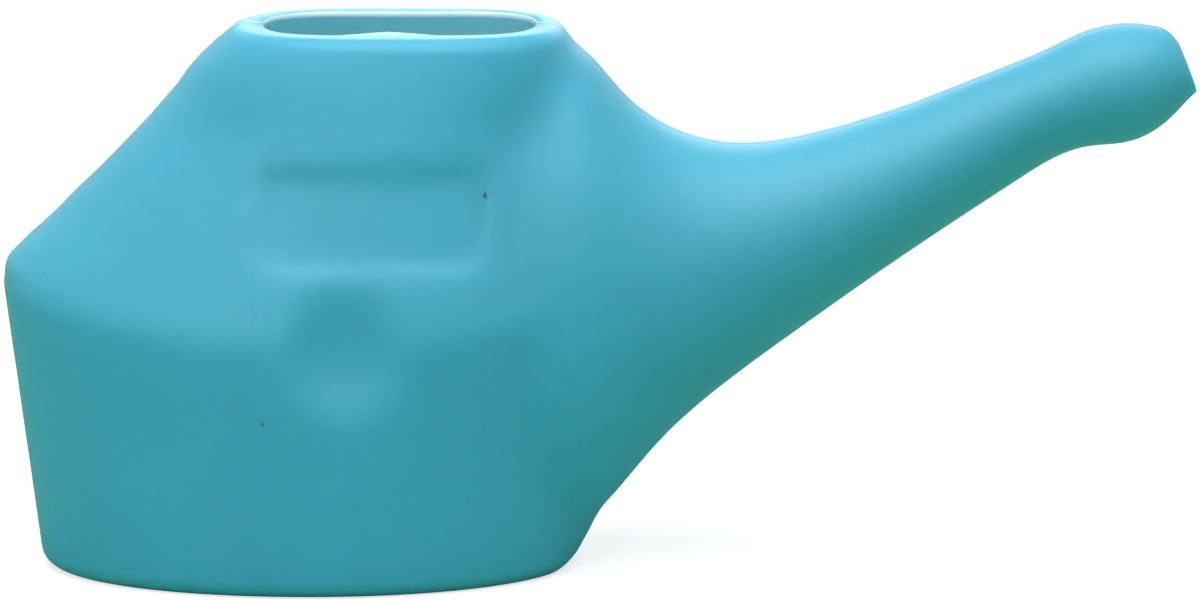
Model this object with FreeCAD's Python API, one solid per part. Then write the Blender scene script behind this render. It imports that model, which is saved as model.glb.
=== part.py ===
import FreeCAD, Part
import math
import os

# Neti pot: one blow-moulded polyethylene vessel with a moulded spout.
# Millimetres. The origin is the centre of the base on the table, +X points along the spout, +Z is up,
# and Y = 0 is the plane in which the two halves of the mould meet.

V = FreeCAD.Vector

# Wall of the blown vessel
wall = 1.4

# Oval rings of the body: how far each reaches backwards, towards the spout and to each side
base_back = 43.3
base_front = 43.9
base_side = 28.4
belly_back = 49.3
belly_front = 53.9
belly_side = 31.6
belly_height = 48.5      # the crease at the back end of the oval
belly_dip = 7.8          # how much lower the crease lies at the two sides
rim_back = 11.2
rim_front = 40.9
rim_side = 20.2
rim_height = 87.9

# Lip rolled in from the rim, and what is cut out of it
lip_width = 7.5
lip_fall = 1.0           # how far the lip sinks towards the mouth
mouth_length = 43.7
mouth_width = 29.0
nozzle_bore = 7.0

# Rounded edges
base_round = 3.4
belly_round = 7.0
rim_round = 3.0
root_round = 14.0
dish_edge = 4.0
panel_edge = 0.7

# Thumb dish pressed in at the crease, alike on both sides
dish_x = 7.3
dish_drop = 0.8          # centre below the crease
dish_radius = 10.0
dish_depth = 2.0

# Grip panel sunk into the upper wall, alike on both sides
panel_x = 11.3
panel_rise = 19.5        # centre above the crease
panel_length = 36.0
panel_width = 15.0
panel_corner = 3.2
panel_depth = 1.0

# Spout: the keel is its lower line and the ridge its upper line. The root keeps its place at base and rim.
root_width = 2 * belly_side - 15.2
spout_sections = [
    # keel x, keel z, ridge x, ridge z, width
    (base_front - 21.9, 8.0, rim_front - 36.9, rim_height - 17.9, root_width - 10.0),
    (base_front - 11.9, 6.0, rim_front - 20.9, rim_height - 10.9, root_width - 4.0),
    (base_front - 3.4, 3.8, rim_front - 6.9, rim_height - 4.9, root_width),
    (base_front + 4.1, 9.5, rim_front + 2.1, rim_height - 1.0, root_width - 1.0),
    (56.0, 20.5, 50.5, 74.9, 41.0),
    (66.0, 29.2, 60.5, 69.3, 35.0),
    (78.0, 38.0, 70.5, 67.9, 30.0),
    (91.0, 47.4, 81.5, 70.0, 25.4),
    (104.0, 56.3, 95.0, 74.1, 21.0),
    (113.0, 62.2, 105.0, 78.3, 18.4),
    (119.0, 66.3, 112.0, 81.0, 17.4),
    (124.6, 68.3, 118.0, 83.5, 17.8),
    (130.0, 68.2, 124.0, 86.8, 19.2),
    (134.6, 69.8, 130.0, 88.0, 18.4),
    (138.6, 73.1, 135.0, 87.4, 15.0),
    (140.6, 75.7, 137.3, 86.8, 11.4),
    (141.9, 76.7, 138.8, 84.7, 9.0),
]

crease_height = belly_height - belly_dip

# Control points around each closed ring, and how far they stand outside the smooth curve that they give
ring_points = 16
ring_step = 2 * math.pi / ring_points
swell = 3 / (2 + math.cos(ring_step))
double_swell = 3 / (2 + math.cos(2 * ring_step))


def oval(back, front, side, height, dip=0.0):
    """Control points of an oval ring around the body; with a dip it sags towards both sides."""
    shift = (front - back) / 2
    reach = (front + back) / 2
    points = []
    for step in range(ring_points):
        turn = (step - 1) * ring_step
        sag = dip / 2 * (1 - double_swell * math.cos(2 * turn))
        points.append(V(shift + swell * reach * math.cos(turn), swell * side * math.sin(turn), height - sag))
    return points


def section(sizes, inset):
    """Control points of one oval section of the spout, made smaller all round by the inset."""
    keel = V(sizes[0], 0, sizes[1])
    ridge = V(sizes[2], 0, sizes[3])
    centre = (keel + ridge) * 0.5
    down = (keel - ridge) * (0.5 - inset / (keel - ridge).Length)
    across = V(0, sizes[4] / 2 - inset, 0)
    points = []
    for step in range(ring_points):
        turn = (step - 1) * ring_step
        points.append(centre + down * (swell * math.cos(turn)) + across * (swell * math.sin(turn)))
    return points


def band(rows, degree, weights):
    """A closed band of smooth surface over rows of control points."""
    spans = len(rows) - degree
    ends = [degree + 1] + [1] * (spans - 1) + [degree + 1]
    around = list(range(ring_points + 1))
    row_weights = [[weight] * ring_points for weight in weights]
    surface = Part.BSplineSurface()
    surface.buildFromPolesMultsKnots(
        rows, ends, [1] * len(around), list(range(spans + 1)), around, False, True, degree, 3, row_weights)
    return surface.toShape()


def flat_end(face, end):
    """The flat face that closes a band at its first or last row."""
    ring = face.Surface.uIso(face.ParameterRange[end])
    return Part.Face(Part.Wire([ring.toShape()]))


def closed_solid(bands):
    """The solid inside a stack of bands that is flat at both ends."""
    shell = Part.makeShell([flat_end(bands[0], 0)] + bands + [flat_end(bands[-1], 1)])
    shell.sewShape()
    solid = Part.Solid(Part.Shell(shell.Faces))
    if solid.Volume < 0:
        solid.reverse()
    return solid


def rounding(before, corner, after, radius):
    """Where a rounding leaves the two walls that meet at a corner ring, and the weight of its middle row."""
    first = []
    last = []
    weight = 0.0
    for near, here, far in zip(before, corner, after):
        backward = near - here
        forward = far - here
        backward.normalize()
        forward.normalize()
        half_turn = (math.pi - backward.getAngle(forward)) / 2
        reach = radius * math.tan(half_turn)
        first.append(here + backward * reach)
        last.append(here + forward * reach)
        weight += math.cos(half_turn) / ring_points
    return first, last, weight


def body(inset):
    """The upright oval vessel without its spout, closed at the top, made smaller all round by the inset."""
    d = inset
    rings = [
        oval(wall, wall, wall, d),
        oval(base_back - d, base_front - d, base_side - d, d),
        oval(belly_back - d, belly_front - d, belly_side - d, belly_height, belly_dip),
        oval(rim_back - d, rim_front - d, rim_side - d, rim_height - d),
        oval(rim_back - lip_width, rim_front - lip_width, rim_side - lip_width, rim_height - lip_fall - d),
    ]
    bands = []
    start = None
    for index, radius in enumerate([base_round, belly_round, rim_round]):
        first, last, weight = rounding(rings[index], rings[index + 1], rings[index + 2], radius - d)
        if start:
            bands.append(band([start, first], 1, [1, 1]))
        bands.append(band([first, rings[index + 1], last], 2, [1, weight, 1]))
        start = last
    bands.append(band([start, rings[-1]], 1, [1, 1]))
    return closed_solid(bands)


def spout(inset):
    """The tapering spout with its nozzle. An inner skin ends one section short, which leaves the end its wall."""
    last = len(spout_sections) - (1 if inset else 0)
    rows = [section(sizes, inset) for sizes in spout_sections[:last]]
    return closed_solid([band(rows, 3, [1] * len(rows))])


def root_edges(shape):
    """The edges along which the spout leaves the body."""
    edges = []
    for edge in shape.Edges:
        sides = [face for face in shape.Faces if any(edge.isSame(other) for other in face.Edges)]
        far_sides = [face for face in sides if face.CenterOfMass.x > belly_front]
        if len(sides) == 2 and len(far_sides) == 1 and edge.CenterOfMass.x < belly_front:
            edges.append(edge)
    return edges


def dish_balls(skin):
    """The two balls that press the dishes into a skin this far inside the outer one."""
    radius = (dish_radius ** 2 + dish_depth ** 2) / (2 * dish_depth)
    reach = belly_side - dish_depth + radius
    height = crease_height - dish_drop
    return [Part.makeSphere(radius + skin, V(dish_x, side * reach, height)) for side in (-1, 1)]


def panel_slabs(skin):
    """The two slabs that the panels take off a skin this far inside the outer one."""
    length = panel_length + 2 * skin
    width = panel_width + 2 * skin
    across = 2 * belly_side
    low_corner = V(panel_x - length / 2, -belly_side, crease_height + panel_rise - width / 2)
    block = Part.makeBox(length, across, width, low_corner)
    corners = [edge for edge in block.Edges if abs(edge.tangentAt(0).y) > 0.5]
    block = block.makeFillet(panel_corner + skin, corners)
    return block.common(body(skin)).cut(body(skin + panel_depth))


def dish_edges(shape):
    """The edges around the dishes, the only ball-shaped faces."""
    return [edge for face in shape.Faces if isinstance(face.Surface, Part.Sphere) for edge in face.Edges]


def panel_edges(shape):
    """The edges around the floors of the panels."""
    edges = []
    for face in shape.Faces:
        centre = face.CenterOfMass
        level = abs(centre.z - crease_height - panel_rise) < panel_corner
        if level and abs(centre.x - panel_x) < panel_corner and abs(centre.y) > rim_side / 2:
            edges.extend(face.Edges)
    return edges


def vessel(inset, root_radius):
    """The closed form of body and spout with its dishes and panels, made smaller all round by the inset."""
    form = body(inset).fuse(spout(inset))
    form = form.makeFillet(root_radius, root_edges(form))
    form = form.cut(dish_balls(inset) + [panel_slabs(inset)])
    if inset:
        return form
    form = form.makeFillet(dish_edge, dish_edges(form))
    return form.makeFillet(panel_edge, panel_edges(form))


def hollowed(form, cavity):
    """The solid between a closed form and a cavity that lies wholly inside it."""
    inner = cavity.Shells[0].copy()
    inner.reverse()
    return Part.Solid(Part.Compound([form.Shells[0], inner]))


def mouth_knife():
    """What the knife takes out when the moulded dome is cut off the mouth."""
    centre = V((rim_front - rim_back) / 2, 0, rim_height / 2)
    edge = Part.Wire([Part.Ellipse(centre, mouth_length / 2, mouth_width / 2).toShape()])
    return Part.Face(edge).extrude(V(0, 0, rim_height))


def nozzle_drill():
    """The round hole through the end of the nozzle."""
    end = spout_sections[-1]
    rise = V(end[2] - end[0], 0, end[3] - end[1])
    axis = V(0, 1, 0).cross(rise)
    axis.normalize()
    start = V(end[0], 0, end[1]) + rise * 0.5 - axis * (3 * wall)
    return Part.makeCylinder(nozzle_bore / 2, 5 * wall, start, axis)


outer = vessel(0.0, root_round)
cavity = vessel(wall, root_round + wall)
pot = hollowed(outer, cavity).cut([mouth_knife(), nozzle_drill()])
print("valid", pot.isValid(), "solids", len(pot.Solids), "volume", round(pot.Volume))

os.makedirs("parts", exist_ok=True)
pot.Solids[0].exportStep("parts/pot_shell.step")
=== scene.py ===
import math

import bmesh
import bpy
import numpy as np
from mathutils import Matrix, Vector


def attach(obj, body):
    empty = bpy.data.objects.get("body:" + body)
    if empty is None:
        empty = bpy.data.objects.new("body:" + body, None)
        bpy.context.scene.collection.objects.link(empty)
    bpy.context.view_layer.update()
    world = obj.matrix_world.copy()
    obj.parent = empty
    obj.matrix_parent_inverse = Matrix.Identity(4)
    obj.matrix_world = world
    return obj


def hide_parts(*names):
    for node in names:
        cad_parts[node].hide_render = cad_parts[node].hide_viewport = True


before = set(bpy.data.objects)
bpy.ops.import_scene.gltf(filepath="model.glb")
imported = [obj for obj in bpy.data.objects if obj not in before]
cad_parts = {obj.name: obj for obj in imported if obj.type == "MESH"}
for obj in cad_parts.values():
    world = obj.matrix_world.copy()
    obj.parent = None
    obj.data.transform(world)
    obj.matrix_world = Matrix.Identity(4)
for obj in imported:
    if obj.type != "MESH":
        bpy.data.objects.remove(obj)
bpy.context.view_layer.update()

MM = 0.001

# Sizes of the pot that the pieces and patterns below line up with, in millimetres
RIM_BACK, RIM_FRONT, RIM_SIDE = 11.2, 40.9, 20.2
RIM_HALF_LENGTH = (RIM_FRONT + RIM_BACK) / 2
MOUTH_LENGTH, MOUTH_WIDTH = 43.7, 29.0
MOUTH_X = (RIM_FRONT - RIM_BACK) / 2
BELLY_BACK, BELLY_FRONT, BELLY_HEIGHT, BELLY_DIP = 49.3, 53.9, 48.5, 7.8
DISH_X, DISH_Z = 7.3, 39.9
PANEL_X, PANEL_Z, PANEL_LENGTH, PANEL_WIDTH = 11.3, 60.2, 36.0, 15.0
PANEL_CORNER, PANEL_LEAN = 3.2, 0.97
LIP_FROM = 80.0    # the lip lies above this height, and all else of the body below it

# Middle of the cavity from the belly through the spout to the nozzle
MIDDLE_LINE = np.array([(-25, 0, 45), (30, 0, 45), (60, 0, 57), (100, 0, 66), (137, 0, 79.5)], float)

# Moulded skin: edges shorter than the first length are merged and those over the second are divided; the edges are
# evened in this many rounds, on the two sides of the pot, which fade in between two distances from Y = 0
EDGE_SHORTEST, EDGE_LONGEST = 0.45, 1.3
EVENING_ROUNDS = 30
SIDE_FROM, SIDE_FULL = 14, 18
HOLLOW_HALF_LENGTH, HOLLOW_HALF_HEIGHT, HOLLOW_DEPTH = 12.0, 13.0, 1.0
LIP_LIFT, FRONT_LIP_LIFT = 0.6, 0.4

# Wedge on the front edge of the mouth: where it starts, peaks and ends in x, its reach, height and thickness
FLAP_START, FLAP_PEAK, FLAP_END = 3.2, 13.4, 24.0
FLAP_REACH, FLAP_FOOT, FLAP_HEIGHT, FLAP_THICKNESS, FLAP_TILT = 5.4, 0.8, 87.28, 0.45, 0.2

# Ovals of mouth and rim: a power of 2 gives an ellipse, higher ones give flatter sides and fuller corners
MOUTH_POWER, RIM_POWER = 3.6, 2.7


# Materials

def srgb(code):
    """A hex colour as linear red, green, blue and alpha 1."""
    parts = [int(code[i:i + 2], 16) / 255 for i in (1, 3, 5)]
    return tuple(c / 12.92 if c <= 0.04045 else ((c + 0.055) / 1.055) ** 2.4 for c in parts) + (1.0,)


def add(tree, kind, links=None, **settings):
    """Adds a node with its settings; each input in links takes a value or another node's output."""
    node = tree.nodes.new(kind)
    for name, value in settings.items():
        setattr(node, name, value)
    for name, value in (links or {}).items():
        socket = node.inputs[name]
        if isinstance(value, bpy.types.NodeSocket):
            tree.links.new(value, socket)
        else:
            socket.default_value = value
    return node


def blank(name):
    """An empty node material and its tree."""
    material = bpy.data.materials.new(name)
    material.use_nodes = True
    material.node_tree.nodes.clear()
    return material, material.node_tree


def blown_polyethylene(name, light, deep, knife_cut=False):
    """Low-density polyethylene, blown in a two-part mould: satin, milky where light passes through the wall, with the
    soft unevenness of the blown skin, the mould's fine blasted grain, its parting line and a few dark specks."""
    material, tree = blank(name)
    place = add(tree, "ShaderNodeTexCoord").outputs["Object"]
    axes = add(tree, "ShaderNodeSeparateXYZ", {"Vector": place})

    # Pigment: the masterbatch clouds over 20 to 30 mm as the parison stretches
    cloud = add(tree, "ShaderNodeTexNoise", {"Vector": place, "Scale": 40.0, "Detail": 2.0, "Roughness": 0.5})
    pigment = add(tree, "ShaderNodeMix", {"Factor": cloud.outputs["Fac"], "A": srgb(deep), "B": srgb(light)},
                  data_type="RGBA")
    colour = pigment.outputs["Result"]

    # Specks of burnt polymer: a dark core 0.3 to 0.4 mm across, which fades out over as much again
    for x, y, z, width in SPECKS:
        gap = add(tree, "ShaderNodeVectorMath", {0: place, 1: (x * MM, y * MM, z * MM)}, operation="DISTANCE")
        dark = add(tree, "ShaderNodeMapRange", {"Value": gap.outputs["Value"], "From Min": width * 0.5 * MM,
                                                "From Max": width * MM, "To Min": 0.65, "To Max": 0.0})
        colour = add(tree, "ShaderNodeMix", {"Factor": dark.outputs[0], "A": colour, "B": srgb("#1F4A58")},
                     data_type="RGBA").outputs["Result"]

    # Parting line of the mould: a low bead 1 mm wide, painted pale as a painted highlight of light grazing it from
    # behind, with a painted shade line beside it for the groove at its foot
    from_bead = add(tree, "ShaderNodeMath", {0: axes.outputs["Y"], 1: 0.3 * MM}, operation="SUBTRACT")
    from_bead = add(tree, "ShaderNodeMath", {0: from_bead.outputs[0]}, operation="ABSOLUTE")
    bead = add(tree, "ShaderNodeMapRange", {"Value": from_bead.outputs[0], "From Min": 0.3 * MM,
                                            "From Max": 0.7 * MM, "To Min": 1.0, "To Max": 0.0},
               interpolation_type="SMOOTHSTEP")
    # Painted highlight: the bead's pale colour stands in for light from behind grazing it
    white = add(tree, "ShaderNodeMath", {0: bead.outputs[0], 1: 0.5}, operation="MULTIPLY")
    colour = add(tree, "ShaderNodeMix", {"Factor": white.outputs[0], "A": colour, "B": srgb("#BFE9F4")},
                 data_type="RGBA").outputs["Result"]
    # Painted shade: a dark line 0.9 mm in front of the bead stands in for the shade in the groove beside it
    from_painted_shade_line = add(tree, "ShaderNodeMath", {0: axes.outputs["Y"], 1: 0.9 * MM}, operation="ADD")
    from_painted_shade_line = add(tree, "ShaderNodeMath", {0: from_painted_shade_line.outputs[0]}, operation="ABSOLUTE")
    foot = add(tree, "ShaderNodeMapRange", {"Value": from_painted_shade_line.outputs[0], "From Min": 0.3 * MM,
                                            "From Max": 0.65 * MM, "To Min": 0.85, "To Max": 0.0},
               interpolation_type="SMOOTHSTEP")
    colour = add(tree, "ShaderNodeMix", {"Factor": foot.outputs[0], "A": colour, "B": srgb("#1F7490")},
                 data_type="RGBA").outputs["Result"]

    # Skin: slow waviness of 12 mm from uneven shrinkage, and a blasted grain drawn at 0.9 mm so that it shows
    wave = add(tree, "ShaderNodeTexNoise", {"Vector": place, "Scale": 80.0, "Detail": 1.0})
    grain = add(tree, "ShaderNodeTexNoise", {"Vector": place, "Scale": 1100.0, "Detail": 2.0})
    skin = add(tree, "ShaderNodeBump", {"Height": wave.outputs["Fac"], "Strength": 0.5, "Distance": 0.25 * MM})
    skin = add(tree, "ShaderNodeBump", {"Height": grain.outputs["Fac"], "Strength": 0.35, "Distance": 0.03 * MM,
                                        "Normal": skin.outputs["Normal"]})
    skin = add(tree, "ShaderNodeBump", {"Height": bead.outputs[0], "Strength": 1.0, "Distance": 0.12 * MM,
                                        "Normal": skin.outputs["Normal"]})
    if knife_cut:
        # Drag marks of the trimming knife, 0.4 mm apart
        stretch = add(tree, "ShaderNodeMapping", {"Vector": place, "Scale": (60.0, 2500.0, 400.0)})
        drag = add(tree, "ShaderNodeTexNoise", {"Vector": stretch.outputs[0], "Scale": 1.0, "Detail": 2.0})
        skin = add(tree, "ShaderNodeBump", {"Height": drag.outputs["Fac"], "Strength": 0.6, "Distance": 0.06 * MM,
                                            "Normal": skin.outputs["Normal"]})
    gloss = add(tree, "ShaderNodeMapRange", {"Value": cloud.outputs["Fac"], "To Min": 0.46, "To Max": 0.56})
    shader = add(tree, "ShaderNodeBsdfPrincipled", {
        "Base Color": colour, "Roughness": gloss.outputs[0], "Normal": skin.outputs["Normal"], "IOR": 1.51,
        "Specular IOR Level": 0.5,
        "Subsurface Weight": 1.0, "Subsurface Radius": (0.35, 1.0, 1.2), "Subsurface Scale": 4.0 * MM})
    add(tree, "ShaderNodeOutputMaterial", {"Surface": shader.outputs["BSDF"]})
    return material


def white_table():
    """Matt white laminate. The camera sees plain white with a faint shadow; the pot gets back a dim grey green."""
    material, tree = blank("white_laminate")
    rays = add(tree, "ShaderNodeLightPath")
    matt = add(tree, "ShaderNodeBsdfDiffuse", {"Color": srgb("#90C09C")})
    lit = add(tree, "ShaderNodeBsdfDiffuse", {"Color": srgb("#B0B0B0")})
    glow = add(tree, "ShaderNodeEmission", {"Color": (1, 1, 1, 1), "Strength": 0.72})
    plain = add(tree, "ShaderNodeAddShader", {0: lit.outputs[0], 1: glow.outputs[0]})
    shown = add(tree, "ShaderNodeMixShader", {0: rays.outputs["Is Camera Ray"], 1: matt.outputs[0],
                                              2: plain.outputs[0]})
    add(tree, "ShaderNodeOutputMaterial", {"Surface": shown.outputs[0]})
    return material


# Specks on the front skin: x, y, z and width of the dark core in millimetres
SPECKS = [(-7.6, -19.0, 86.6, 0.4), (23.5, -21.6, 80.3, 0.38),
          (12.8, -20.6, 81.8, 0.3), (-5.9, -30.2, 28.7, 0.4)]

polyethylene = blown_polyethylene("blown_polyethylene", "#3BADC4", "#33A3BA")
# The inner skin, which never met the mould, is painted paler than the outside: painted light standing in for the
# light that comes through the wall
painted_glow_polyethylene = blown_polyethylene("inner_skin_painted_glow", "#DAF2FF", "#D0ECFF")
# The flap is a paler copy of the same plastic: painted highlight on the thin cut edge at the front of the mouth
trimmed_painted_highlight = blown_polyethylene("knife_cut_painted_highlight", "#7CCBDF", "#6CC2D8", knife_cut=True)


# Pieces

def piece(name, points, faces, material):
    """A mesh object from an array of points in millimetres and a list of faces, with smooth shading."""
    mesh = bpy.data.meshes.new(name)
    mesh.from_pydata((points * MM).tolist(), [], faces.tolist())
    mesh.polygons.foreach_set("use_smooth", np.ones(len(mesh.polygons), bool))
    mesh.materials.append(material)
    mesh.update()
    obj = bpy.data.objects.new(name, mesh)
    bpy.context.scene.collection.objects.link(obj)
    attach(obj, "root")
    return obj


def ramp(value, low, high):
    """0 up to low and 1 from high on, with a smooth S between them; high may lie below low."""
    t = np.clip((value - low) / (high - low), 0, 1)
    return t * t * (3 - 2 * t)


def panel_edge_gap(x, z):
    """How far a point lies outside the panel's outline, a rectangle with rounded corners; inside it is negative."""
    across = np.abs(x - PANEL_X) - PANEL_LENGTH / 2 + PANEL_CORNER
    upward = np.abs(z - PANEL_Z) / PANEL_LEAN - PANEL_WIDTH / 2 + PANEL_CORNER
    outside = np.hypot(np.maximum(across, 0), np.maximum(upward, 0))
    return outside + np.minimum(np.maximum(across, upward), 0) - PANEL_CORNER


def crease_height(x):
    """Height of the crease: a parabola, lowest at the middle of each side and highest at the two ends of the oval."""
    middle, half_length = (BELLY_FRONT - BELLY_BACK) / 2, (BELLY_FRONT + BELLY_BACK) / 2
    along = np.clip((x - middle) / half_length, -1, 1)
    return BELLY_HEIGHT - BELLY_DIP * (1 - along ** 2)


def fuller_corner(along, aside, power):
    """How much further out than an ellipse the oval |along|^power + |aside|^power = 1 lies in this direction."""
    outward = np.hypot(along, aside)
    return ((np.abs(along) / outward) ** power + (np.abs(aside) / outward) ** power) ** (-1 / power)


def evened(points, edges, share, rounds):
    """Each round moves a point towards the mean of its neighbours by half the distance times its share."""
    ends = np.concatenate([edges, edges[:, ::-1]])
    count = np.bincount(ends[:, 0], minlength=len(points))[:, None]
    for _ in range(rounds):
        total = np.stack([np.bincount(ends[:, 0], points[ends[:, 1], k], len(points)) for k in range(3)], 1)
        points = points + 0.5 * share[:, None] * (total / count - points)
    return points


def faces_inward(mesh):
    """Which faces look towards the nearest point of the vessel's middle line, or at the lip to the mouth's axis."""
    count = len(mesh.polygons)
    centre = np.empty(count * 3, np.float32)
    normal = np.empty(count * 3, np.float32)
    mesh.polygons.foreach_get("center", centre)
    mesh.polygons.foreach_get("normal", normal)
    centre, normal = centre.reshape(-1, 3) / MM, normal.reshape(-1, 3)
    start, step = MIDDLE_LINE[:-1, None], np.diff(MIDDLE_LINE, axis=0)[:, None]
    share = np.clip(((centre - start) * step).sum(-1) / (step * step).sum(-1), 0, 1)
    line = start + step * share[..., None]
    line[:, (centre[:, 2] > LIP_FROM) & (centre[:, 0] < 50), 0] = MOUTH_X
    away = line - centre
    nearest = np.linalg.norm(away, axis=-1).argmin(0)
    away = away[nearest, np.arange(count)]
    return (away * normal).sum(-1) > 0


def blown_skin(node):
    """The moulded skin: a copy of the solid's surface with finer faces round the grips and the spout's root, where
    each point moves towards the mean of its neighbours, because melt leaves soft edges. Then whole regions shift by
    a millimetre or so, each by an amount times smooth ramps of x, y and z."""
    work = bmesh.new()
    work.from_mesh(node.data)
    bmesh.ops.remove_doubles(work, verts=work.verts, dist=0.001 * MM)

    def near_grips(place):
        x, y, z = place / MM
        grip = abs(y) > SIDE_FROM and x < 50 and 24 < z < 73
        return grip or (abs(y) > 3 and 28 < x < 68 and 45 < z < 86)

    small = [v for v in work.verts if near_grips(v.co)]
    bmesh.ops.remove_doubles(work, verts=small, dist=EDGE_SHORTEST * MM)
    for _ in range(5):
        long = [e for e in work.edges if e.calc_length() > EDGE_LONGEST * MM and near_grips(e.verts[0].co)]
        if not long:
            break
        bmesh.ops.subdivide_edges(work, edges=long, cuts=1)
        bmesh.ops.triangulate(work, faces=[f for f in work.faces if len(f.verts) > 3])
    bmesh.ops.recalc_face_normals(work, faces=work.faces)
    mesh = bpy.data.meshes.new("pot_skin")
    work.to_mesh(mesh)
    work.free()

    points = np.empty(len(mesh.vertices) * 3, np.float32)
    mesh.vertices.foreach_get("co", points)
    points = points.reshape(-1, 3).astype(float) / MM
    edges = np.empty(len(mesh.edges) * 2, np.int32)
    mesh.edges.foreach_get("vertices", edges)
    edges = edges.reshape(-1, 2)

    # Soft edges: round the panel, round the dish, along the crease on both sides and down the spout's root
    x, y, z = points.T
    side = ramp(np.abs(y), SIDE_FROM, SIDE_FULL)
    panel = ramp(np.abs(panel_edge_gap(x, z)), 4.0, 2.0)
    dish = ramp(np.abs(np.hypot(x - DISH_X, (z - DISH_Z) * 1.2) - 9.5), 5.0, 2.5)
    crease = 0.7 * ramp(np.abs(z - crease_height(x)), 7.0, 3.0)
    root = ramp(np.abs(y), 5, 9) * ramp(x, 30, 38) * ramp(x, 68, 58) * ramp(z, 48, 56) * ramp(z, 86, 80)
    soft = np.maximum(side * np.maximum(np.maximum(panel, dish), crease), root)
    points = evened(points, edges, soft, EVENING_ROUNDS)

    # Dish: a wider, shallow hollow round the moulded one
    x, y, z = points.T
    reach = np.hypot((x - DISH_X) / HOLLOW_HALF_LENGTH, (z - DISH_Z) / HOLLOW_HALF_HEIGHT)
    points[:, 1] -= np.sign(y) * ramp(np.abs(y), SIDE_FROM, SIDE_FULL) * HOLLOW_DEPTH * ramp(reach, 1.0, 0.3)

    # Outline: fuller below the rim and above the crease at the back, leaner between them and at the front of the base
    x, y, z = points.T
    back_end = np.where(x < 5, ramp(np.abs(y), 22, 5), 0)
    points[:, 0] += back_end * (0.45 * ramp(np.abs(z - 69), 9, 3) - 0.85 * ramp(np.abs(z - 82.5), 5, 1)
                                - 0.7 * ramp(np.abs(z - 52), 5, 1))
    points[:, 0] -= ramp(x, 38, 44) * 1.3 * ramp(z, 6.5, 0.5)

    # Lip: almost level, so its cut edge stands higher than the solid's, most at the front, up to the solid's top
    x, y, z = points.T
    along, aside = (x - MOUTH_X) / RIM_HALF_LENGTH, y / RIM_SIDE
    outward = np.hypot(along, aside)
    lift = (LIP_LIFT + FRONT_LIP_LIFT * ramp(-y, 6, 13)) * ramp(outward, 1.0, 0.78)
    points[:, 2] = np.minimum(z + np.where(z > LIP_FROM, lift, 0), z.max())

    # Rim and mouth: fuller at the four corners than an ellipse, fading into the oval body below
    power = RIM_POWER + (MOUTH_POWER - RIM_POWER) * ramp(outward, 0.98, 0.75)
    growth = 1 + (fuller_corner(along, aside, power) - 1) * ramp(z, 70, 86) * ramp(x, 54, 38)
    points[:, 0] = MOUTH_X + (x - MOUTH_X) * growth
    points[:, 1] *= growth

    mesh.vertices.foreach_set("co", (points * MM).ravel())
    mesh.polygons.foreach_set("use_smooth", np.ones(len(mesh.polygons), bool))
    mesh.update()
    mesh.set_sharp_from_angle(angle=math.radians(50))
    mesh.materials.append(polyethylene)
    # Faces turned inward get the paler copy: painted light for the glow through the wall
    mesh.materials.append(painted_glow_polyethylene)
    mesh.polygons.foreach_set("material_index", faces_inward(mesh).astype(np.int32))
    skin = bpy.data.objects.new("pot_skin", mesh)
    bpy.context.scene.collection.objects.link(skin)
    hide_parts("pot_shell")
    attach(skin, "root")
    return skin


def lip_flap():
    """What the trimming knife left at the front of the mouth: a wedge whose foot follows the mouth's oval. Along it
    the reach rises in a line to a blunted peak and falls again; across it the surface is a rounded loop, a
    superellipse in y and z."""
    along, around = 81, 24
    flatness = 0.6
    s = np.linspace(0, 1, along)[:, None]
    turn = np.linspace(0, 2 * np.pi, around, endpoint=False)[None, :]
    x = FLAP_START + (FLAP_END - FLAP_START) * s
    share = np.abs((x - MOUTH_X) / (MOUTH_LENGTH / 2))
    edge = -MOUTH_WIDTH / 2 * (1 - share ** MOUTH_POWER) ** (1 / MOUTH_POWER)
    peak = (FLAP_PEAK - FLAP_START) / (FLAP_END - FLAP_START)
    rise = np.minimum(s / peak, (1 - s) / (1 - peak))
    reach = FLAP_REACH * rise * (1.0 - 0.12 * rise ** 6)
    half = (reach + FLAP_FOOT) / 2
    middle = edge - FLAP_FOOT + half
    half_thickness = 0.7 * FLAP_THICKNESS * np.minimum(1, 0.15 + 2.5 * rise)
    y = middle + half * np.sign(np.cos(turn)) * np.abs(np.cos(turn)) ** flatness
    tilt = FLAP_TILT * (y - edge) / FLAP_REACH * rise
    z = FLAP_HEIGHT + tilt + half_thickness * np.sign(np.sin(turn)) * np.abs(np.sin(turn)) ** flatness
    grid = np.stack([np.broadcast_to(x, y.shape), y, z], -1).reshape(-1, 3)
    i, j = np.meshgrid(np.arange(along - 1), np.arange(around), indexing="ij")
    right = (j + 1) % around
    faces = np.stack([i * around + j, (i + 1) * around + j, (i + 1) * around + right, i * around + right], -1)
    flap = piece("lip_flap", grid, faces.reshape(-1, 4), trimmed_painted_highlight)
    work = bmesh.new()
    work.from_mesh(flap.data)
    bmesh.ops.holes_fill(work, edges=[e for e in work.edges if e.is_boundary])
    bmesh.ops.recalc_face_normals(work, faces=work.faces)
    work.to_mesh(flap.data)
    work.free()
    return flap


blown_skin(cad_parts["pot_shell"])
lip_flap()

# Table
table_mesh = bpy.data.meshes.new("table_top")
table_mesh.from_pydata([(-3, -3, 0), (3, -3, 0), (3, 5, 0), (-3, 5, 0)], [], [(0, 1, 2, 3)])
table = bpy.data.objects.new("table_top", table_mesh)
bpy.context.scene.collection.objects.link(table)
table.data.materials.append(white_table())

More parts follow.
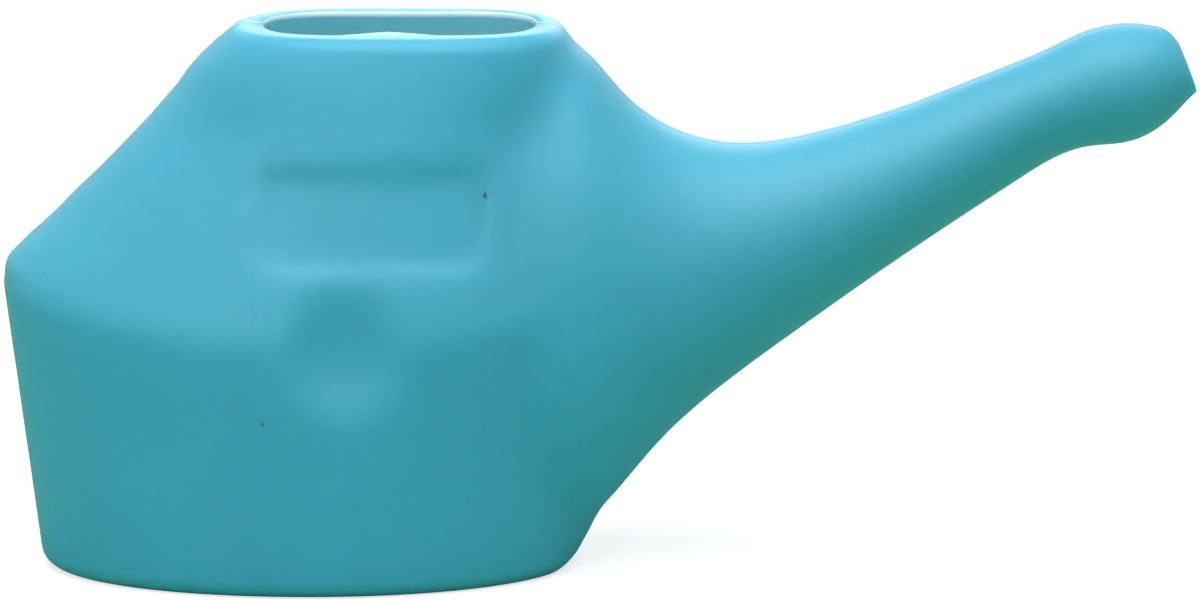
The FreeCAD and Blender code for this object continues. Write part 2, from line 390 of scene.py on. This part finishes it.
# Camera: 0.9 m away and 10.5 degrees above the table. A point in the pot's middle falls at a known pixel of the
# photograph, and the aim is moved from there to the picture's centre
PICTURE_WIDTH, PICTURE_HEIGHT = 1200, 603
FOCAL_PIXELS, DISTANCE, ELEVATION = 5623.3, 903.8, 10.49
POT_MIDDLE, POT_PIXEL = Vector((46.0, 0.0, 43.0)), (595.7, 299.1)
camera = bpy.data.objects.new("camera", bpy.data.cameras.new("camera"))
bpy.context.scene.collection.objects.link(camera)
rise = math.radians(ELEVATION)
away = Vector((0, -math.cos(rise), math.sin(rise)))
right, up = Vector((1, 0, 0)), Vector((0, math.sin(rise), math.cos(rise)))
right_shift = (PICTURE_WIDTH / 2 - POT_PIXEL[0]) / FOCAL_PIXELS * DISTANCE
down_shift = (PICTURE_HEIGHT / 2 - POT_PIXEL[1]) / FOCAL_PIXELS * DISTANCE
aim = (POT_MIDDLE + right * right_shift - up * down_shift) * MM
camera.location = aim + away * DISTANCE * MM
camera.rotation_euler = (-away).to_track_quat("-Z", "Y").to_euler()
camera.data.sensor_width = 36
camera.data.lens = FOCAL_PIXELS / PICTURE_WIDTH * camera.data.sensor_width
camera.data.clip_start = 0.05
camera.data.clip_end = 50
bpy.context.scene.camera = camera


def lamp(name, place, size, watts, colour):
    """A square soft box that faces the pot's middle."""
    light = bpy.data.lights.new(name, "AREA")
    light.size = size
    light.energy = watts
    light.color = srgb(colour)[:3]
    holder = bpy.data.objects.new(name, light)
    bpy.context.scene.collection.objects.link(holder)
    holder.location = Vector(place)
    holder.rotation_euler = (LIT_POINT - Vector(place)).to_track_quat("-Z", "Y").to_euler()


LIT_POINT = Vector((0.045, 0, 0.045))
lamp("top_box", (0.0, -0.36, 1.0), 1.1, 15, "#EEF2FF")
lamp("front_box", (-0.5, -1.2, 0.42), 1.0, 1.9, "#F8FFF8")
lamp("back_box", (0.1, 1.1, 0.6), 0.7, 5.5, "#F2F6FF")

# World: white to the camera and in reflections, and a dimmer even light on the pot
world = bpy.data.worlds.new("studio")
bpy.context.scene.world = world
world.use_nodes = True
tree = world.node_tree
tree.nodes.clear()
rays = add(tree, "ShaderNodeLightPath")
seen = add(tree, "ShaderNodeMath", {0: rays.outputs["Is Camera Ray"], 1: rays.outputs["Is Glossy Ray"]},
           operation="MAXIMUM")
level = add(tree, "ShaderNodeMapRange", {"Value": seen.outputs[0], "To Min": 0.32, "To Max": 1.0})
back = add(tree, "ShaderNodeBackground", {"Color": (1, 1, 1, 1), "Strength": level.outputs[0]})
add(tree, "ShaderNodeOutputWorld", {"Surface": back.outputs[0]})

bpy.context.scene.view_settings.view_transform = "Standard"
